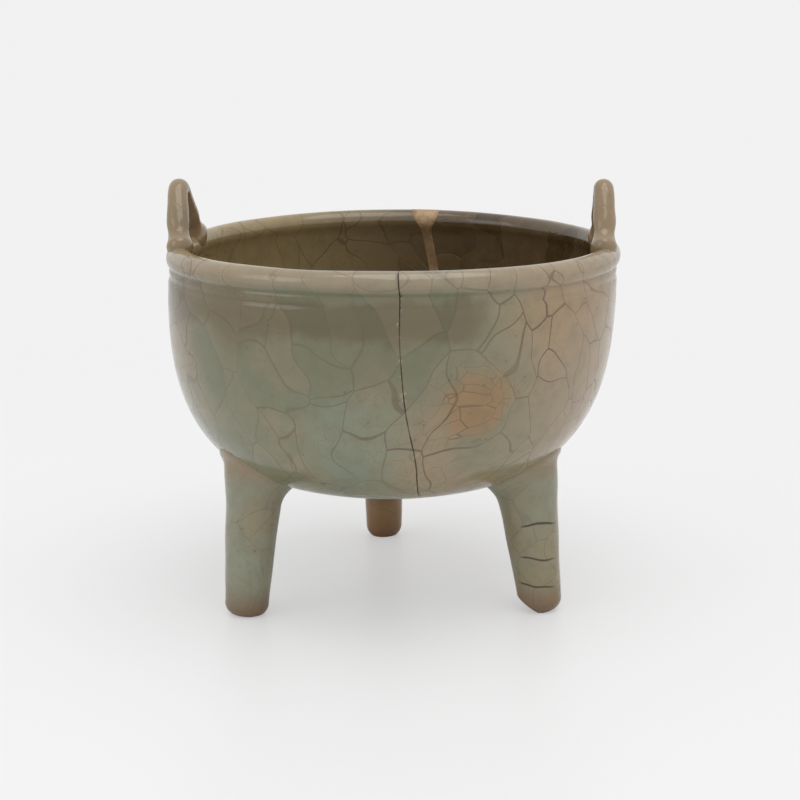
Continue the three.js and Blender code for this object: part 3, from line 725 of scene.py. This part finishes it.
class BURNER_OT_loops(bpy.types.Operator):
    """Sweeps the two coil loops, their feet flared into the luting clay on the lip"""

    bl_idname = "burner.loops"
    bl_label = "Loop Handles"

    def execute(self, context):
        settings = context.scene.burner
        bead = settings.lip_bead / MM
        lip_top = LIP_HEIGHT + bead
        coil_radius = settings.coil_radius / MM
        apex_radius = settings.apex_radius / MM
        glaze = glaze_material(
            "Loop glaze", settings, srgb(146, 122, 92)[:3], srgb(122, 106, 76)[:3],
            stretch=0.9, cell=0.009, lines=0.12)

        def centre(loop, t):
            s = 1 - t
            aside = s ** 3 - 3 * s * s * t * LOOP_PINCH + 3 * s * t * t * LOOP_PINCH - t ** 3
            risen = 4 * s * t
            radius = LIP_RADIUS - LOOP_SET_IN + loop["lean"] * risen
            angle = math.radians(loop["angle"]) + loop["spread"] * aside / LIP_RADIUS
            height = LIP_HEIGHT + (bead + LOOP_HEIGHT) * risen
            return Vector((radius * math.cos(angle), radius * math.sin(angle), height))

        for name, loop in LOOPS.items():
            angle = math.radians(loop["angle"])
            outward = Vector((math.cos(angle), math.sin(angle), 0))
            count = 40
            rows = []
            for t in steps(110, 0, 1):
                middle = centre(loop, t)
                ahead = centre(loop, min(t + 0.004, 1)) - centre(loop, max(t - 0.004, 0))
                ahead.normalize()
                along = ahead.cross(outward).normalized()
                across = along.cross(ahead)
                rise = middle.z - lip_top
                neck = smoothstep(rise, COLLAR_HEIGHT * 0.6, COLLAR_HEIGHT + 2.4)
                crown = smoothstep(rise, COLLAR_HEIGHT, LOOP_HEIGHT)
                radius = lerp(lerp(2.75, coil_radius, neck), apex_radius, crown)
                low = 1 - clamp(rise / COLLAR_HEIGHT)
                sunk = max(lip_top - middle.z, 0) / (1.3 * bead)
                closing = math.sqrt(max(1 - min(sunk, 1) ** 2, 0.01))
                wide = (radius + 0.9 * low ** 2) * closing
                long = (radius + 2.2 * low ** 2) * closing
                turns = [2 * math.pi * i / count for i in range(count)]
                rows.append([
                    middle + across * wide * math.cos(turn) + along * long * math.sin(turn)
                    for turn in turns])
            bm = ring_loft([[sagged(point) for point in row] for row in rows])
            roughen(bm, 0.16 * MM, 5 * MM, loop["angle"])
            piece = finish_piece(name + "_glazed", bm, glaze)
            dress(piece, "loop_glaze", name, name + "_front_luting", name + "_back_luting")
        return {"FINISHED"}


class BURNER_OT_stage(bpy.types.Operator):
    """Sets the pale floor, soft lamps, surroundings and camera"""

    bl_idname = "burner.stage"
    bl_label = "Stage"

    def execute(self, context):
        settings = context.scene.burner
        scene = context.scene
        bm = bmesh.new()
        bmesh.ops.create_grid(bm, x_segments=1, y_segments=1, size=40)
        mesh = bpy.data.meshes.new("studio_floor")
        bm.to_mesh(mesh)
        bm.free()
        floor = bpy.data.objects.new("studio_floor", mesh)
        scene.collection.objects.link(floor)
        material = bpy.data.materials.new("Pale floor")
        material.use_nodes = True
        shader = material.node_tree.nodes["Principled BSDF"]
        shader.inputs["Base Color"].default_value = colour(settings.floor)
        shader.inputs["Roughness"].default_value = 0.4
        tree = material.node_tree
        where = add(tree, "ShaderNodeTexCoord").outputs["Object"]
        away = add(tree, "ShaderNodeVectorMath", {0: where}, operation="LENGTH").outputs["Value"]
        seen = add(tree, "ShaderNodeLightPath").outputs["Is Camera Ray"]
        # Painted light: camera-seen glow in the backdrop colour covers the far floor fully and, at 45% near
        # the bowl, lightens the bowl's cast shadow.
        backdrop_glow_share = calc(tree, "MULTIPLY", remap(tree, away, 0.1, 0.42, 0.45, 1.0), seen)
        glow = add(tree, "ShaderNodeEmission", {"Color": BACKDROP, "Strength": 1.0}).outputs[0]
        faded = add(tree, "ShaderNodeMixShader", {0: backdrop_glow_share, 1: shader.outputs[0], 2: glow}).outputs[0]
        tree.links.new(faded, tree.nodes["Material Output"].inputs["Surface"])
        mesh.materials.append(material)

        world = bpy.data.worlds.new("Pale surroundings")
        scene.world = world
        world.use_nodes = True
        tree = world.node_tree
        background = tree.nodes["Background"]
        path = add(tree, "ShaderNodeLightPath").outputs
        seen = calc(tree, "MAXIMUM", path["Is Camera Ray"], path["Is Glossy Ray"])
        seen = calc(tree, "MAXIMUM", seen, path["Is Transmission Ray"])
        background.inputs["Color"].default_value = BACKDROP
        tree.links.new(remap(tree, seen, 0.0, 1.0, 0.9, 1.0), background.inputs["Strength"])

        for label, place, size, power in SOFTBOXES:
            lamp = bpy.data.lights.new(label, "AREA")
            lamp.shape = "SQUARE"
            lamp.size = size
            lamp.energy = power
            light = bpy.data.objects.new(label, lamp)
            light.location = place
            light.rotation_euler = (Vector((0, 0, 0.06)) - Vector(place)).to_track_quat("-Z", "Y").to_euler()
            scene.collection.objects.link(light)

        lens = bpy.data.cameras.new("photo_camera")
        lens.lens = CAMERA_LENS
        lens.sensor_width = 36.0
        camera = bpy.data.objects.new("photo_camera", lens)
        camera.location = CAMERA_PLACE
        camera.rotation_euler = (math.radians(90 - CAMERA_DOWN), 0, math.radians(-CAMERA_RIGHT))
        scene.collection.objects.link(camera)
        scene.camera = camera
        scene.view_settings.view_transform = "Standard"
        return {"FINISHED"}


class BURNER_PT_panel(bpy.types.Panel):
    """Lists the burner's pieces and settings"""

    bl_label = "Incense Burner"
    bl_idname = "BURNER_PT_panel"
    bl_space_type = "VIEW_3D"
    bl_region_type = "UI"
    bl_category = "Burner"

    def draw(self, context):
        for key in BurnerSettings.__annotations__:
            self.layout.prop(context.scene.burner, key)
        for operator in OPERATORS:
            self.layout.operator(operator.bl_idname)


OPERATORS = (BURNER_OT_bowl, BURNER_OT_filler, BURNER_OT_legs, BURNER_OT_loops, BURNER_OT_stage)
CLASSES = (BurnerSettings, *OPERATORS, BURNER_PT_panel)


def register():
    for item in CLASSES:
        bpy.utils.register_class(item)
    bpy.types.Scene.burner = bpy.props.PointerProperty(type=BurnerSettings)


def unregister():
    del bpy.types.Scene.burner
    for item in reversed(CLASSES):
        bpy.utils.unregister_class(item)


def main():
    register()
    makers = {"crackle": crackle_group, "patch": patch_group, "break": break_group, "hollow": hollow_group}
    for name, make in makers.items():
        GROUPS[name] = make()
    bpy.ops.burner.bowl()
    bpy.ops.burner.filler()
    bpy.ops.burner.legs()
    bpy.ops.burner.loops()
    bpy.ops.burner.stage()


if __name__ == "__main__":
    main()
